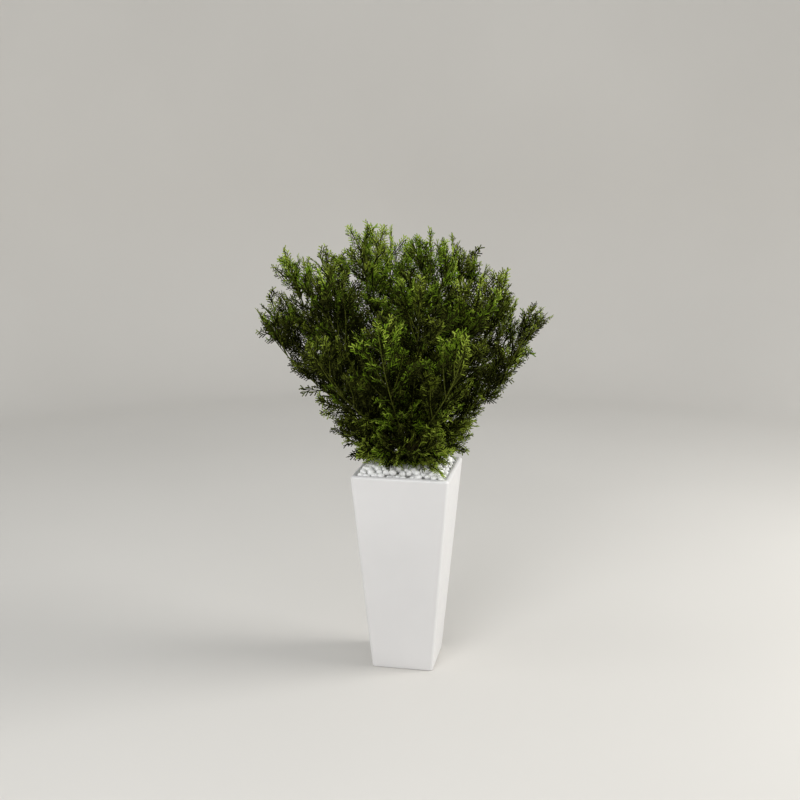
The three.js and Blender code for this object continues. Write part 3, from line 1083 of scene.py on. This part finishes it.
def planter_rings():
    """Rings from the middle of the underside, up the outside, over the rim and down inside."""
    height, wall, corner = PLANTER_HEIGHT, PLANTER.wall, PLANTER.corner
    foot, edge, share = PLANTER.foot_edge, PLANTER.edge, PLANTER.corner_share
    inner, count = PLANTER.inner_corner, PLANTER.rings
    top = height - edge
    rings = [square_ring(half_side(0) - PLANTER.base_inset, PLANTER.base_corner, 0)]
    for inset, up in edge_arc(foot, -90, 0):
        rings.append(square_ring(half_side(0) - inset, corner - share * inset, foot + up))
    for i in range(1, count):
        z = foot + (top - foot) * i / count
        rings.append(square_ring(half_side(z), corner, z))
    for inset, up in edge_arc(edge, 0, 90):
        rings.append(square_ring(half_side(top) - inset, corner - share * inset, top + up))
    for inset, up in reversed(edge_arc(edge, 0, 90)):
        rings.append(square_ring(half_side(height) - wall + inset, inner + share * inset, top + up))
    for z in [height - step for step in PLANTER.inner_steps] + [PLANTER.inner_floor]:
        rings.append(square_ring(half_side(z) - wall, inner, z))
    return rings


def planter(material):
    rings = planter_rings()
    n = len(rings[0])
    vertices = [point for points in rings for point in points]
    faces = [tuple(reversed(range(n)))] + ring_faces(len(rings), n)
    faces.append(tuple(range((len(rings) - 1) * n, len(rings) * n)))
    piece = mesh_piece("planter_shell", vertices, faces)
    weighted = piece.modifiers.new("flat_sides", "WEIGHTED_NORMAL")
    weighted.weight = 100
    dress(piece, material, ["planter"])


def icosphere(level):
    ball = bmesh.new()
    bmesh.ops.create_icosphere(ball, subdivisions=level, radius=1.0)
    vertices = np.array([v.co[:] for v in ball.verts])
    faces = np.array([[v.index for v in f.verts] for f in ball.faces])
    ball.free()
    return vertices, faces


def pebble_shape(sphere, seed, flats):
    """A tumbled stone: a lumpy ball, worn flat here and there and squashed."""
    shape = sphere.copy()
    for facet, depth in flats:
        over = np.maximum(shape @ facet - depth, 0)
        shape -= np.outer(over * PEBBLE.wear, facet)
    scale = PEBBLE.lump_scale
    lumps = np.array([1 + PEBBLE.lumps * noise.noise(Vector(v) * scale + seed) for v in shape])
    return shape * lumps[:, None] * np.array(PEBBLE.squash)


def pebble_traits(rng):
    """Where in the noise each kind of pebble has its lumps, and its worn faces."""
    traits = []
    for _ in range(PEBBLE.templates):
        flats = []
        for _ in range(PEBBLE.flats):
            facet = unit(np.array([rng.gauss(0, 1) for _ in range(3)]))
            flats.append((facet, varied(rng, PEBBLE.flat_depth)))
        traits.append((Vector((rng.random() * PEBBLE.lump_run, 0, 0)), flats))
    return traits


def pebble_rows(half, pitch, rng):
    """Places in staggered rows over a square, each a little off its row, and off the stem."""
    rows = max(2, round(2 * half / (pitch * PEBBLE.row_share)))
    columns = max(2, round(2 * half / pitch))
    places = []
    for row in range(rows + 1):
        for i in range(columns + 1 - row % 2):
            x = (2 * (i + 0.5 * (row % 2)) / columns - 1) * half + PEBBLE.jitter * (2 * rng.random() - 1)
            y = (2 * row / rows - 1) * half + PEBBLE.jitter * (2 * rng.random() - 1)
            if hypot(x, y) > PEBBLE.stem_clear:
                places.append((max(-half, min(half, x)), max(-half, min(half, y))))
    return places


def pebbles(material):
    rng = random.Random(PEBBLE.seed)
    traits = pebble_traits(rng)
    parts = []
    for height, pitch, fineness in PEBBLE.layers:
        sphere, faces = icosphere(fineness)
        shapes = [pebble_shape(sphere, seed, flats) for seed, flats in traits]
        half = half_side(height) - PLANTER.wall - PEBBLE.radius * PEBBLE.wall_share
        for x, y in pebble_rows(half, pitch, rng):
            spin = Matrix.Rotation(rng.random() * 2 * pi, 3, "Z")
            turn = spin @ Matrix.Rotation(rng.gauss(0, PEBBLE.lean), 3, "X")
            size = PEBBLE.radius * varied(rng, PEBBLE.sizes)
            lift = height + heap(half - max(abs(x), abs(y))) + about_zero(rng, PEBBLE.lift)
            placed = rng.choice(shapes) * size @ np.array(turn).T + np.array([x, y, lift])
            parts.append((placed, faces))
    dress(mesh_piece("pebbles", *join_arrays(parts)), material, ["pebble_bed"])


def pebble_grit(material):
    """The bed under the pebbles that show, standing in for the deeper pebbles and grey with painted shade.
    """
    half = half_side(DEEP_BED.side_height) - PLANTER.wall + DEEP_BED.overlap
    steps = DEEP_BED.steps
    vertices = []
    for i in range(steps + 1):
        for j in range(steps + 1):
            x, y = -half + 2 * half * i / steps, -half + 2 * half * j / steps
            bumps = DEEP_BED.bumps * noise.noise(Vector((x, y, 0)) * DEEP_BED.bump_scale)
            vertices.append((x, y, DEEP_BED.top + (heap(half - max(abs(x), abs(y))) + bumps)))
    faces = []
    for i in range(steps):
        for j in range(steps):
            a = i * (steps + 1) + j
            faces.append((a, a + steps + 1, a + steps + 2, a + 1))
    dress(mesh_piece("pebble_grit", vertices, faces), material, ["pebble_bed"])


# Stage, light and camera

def stage():
    """A round pale floor that sweeps up into a plain wall on every side."""
    look = Look("studio_paper", 0.9, 0.2)
    look.colours(look.noise(0.8, 2), (0.3, (205, 202, 197)), (0.7, (209, 206, 201)))
    floor, bend = STUDIO.floor, STUDIO.bend
    profile = [(STUDIO.inner, 0.0), (STUDIO.middle, 0.0), (floor, 0.0)]
    for i in range(1, STUDIO.bend_steps + 1):
        a = i / STUDIO.bend_steps * pi / 2
        profile.append((floor + bend * sin(a), bend * (1 - cos(a))))
    profile.append((floor + bend, STUDIO.height))
    around = STUDIO.around
    vertices = []
    for radius, z in profile:
        for j in range(around):
            a = 2 * pi * j / around
            vertices.append((radius * cos(a) / MM, radius * sin(a) / MM, z / MM))
    faces = ring_faces(len(profile), around) + [tuple(range(around))]
    sweep = mesh_piece("studio_sweep", vertices, faces)
    sweep.data.materials.append(look.material)


def area_light(name, place, size, power, colour):
    data = bpy.data.lights.new(name, "AREA")
    data.shape = "DISK"
    data.size = size
    data.energy = power
    data.color = colour
    light = bpy.data.objects.new(name, data)
    light.location = place
    light.rotation_euler = (Vector(LIGHT_TARGET) - Vector(place)).to_track_quat("-Z", "Y").to_euler()
    bpy.context.scene.collection.objects.link(light)


def lights():
    world = bpy.data.worlds.new("studio")
    bpy.context.scene.world = world
    world.use_nodes = True
    background = world.node_tree.nodes["Background"]
    background.inputs["Color"].default_value = WORLD.colour
    background.inputs["Strength"].default_value = WORLD.strength
    for light in LIGHTS:
        area_light(*light)
    bpy.context.scene.view_settings.view_transform = "Standard"


def camera():
    a = CAMERA.azimuth_deg * RAD
    pitch = CAMERA.pitch_deg * RAD
    right = Vector((cos(a), sin(a), 0))
    ahead = Vector((-sin(a), cos(a), 0))
    data = bpy.data.cameras.new("photo_camera")
    data.sensor_width = CAMERA.sensor_mm
    data.lens = CAMERA.sensor_mm * CAMERA.focal_px / CAMERA.frame_px
    eye = bpy.data.objects.new("photo_camera", data)
    eye.location = right * CAMERA.aside - ahead * CAMERA.distance + Vector((0, 0, CAMERA.height))
    view = ahead * cos(pitch) - Vector((0, 0, sin(pitch)))
    eye.rotation_euler = view.to_track_quat("-Z", "Y").to_euler()
    bpy.context.scene.collection.objects.link(eye)
    bpy.context.scene.camera = eye


camera()
stage()
lights()

planter(ceramic())
pebbles(stone())
pebble_grit(painted_shade_bed())
foam = fill_foam()
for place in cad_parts["potting_fill"].material_slots:
    place.material = foam

plumes = grow_plumes()
foliage_nodes = ["foliage_" + plume.name for plume in plumes]
stem(bark("stem_bark"))
boughs(plumes, bark("bough_bark"))
crown = Crown()
for plume in plumes:
    grow_plume(crown, plume)
grow_hanging(crown)
grow_apron(crown)
grow_stray(crown)
plume_stems(plumes, crown.branches, bark("twig_bark"), foliage_nodes)
crown_pieces(crown, foliage_nodes)
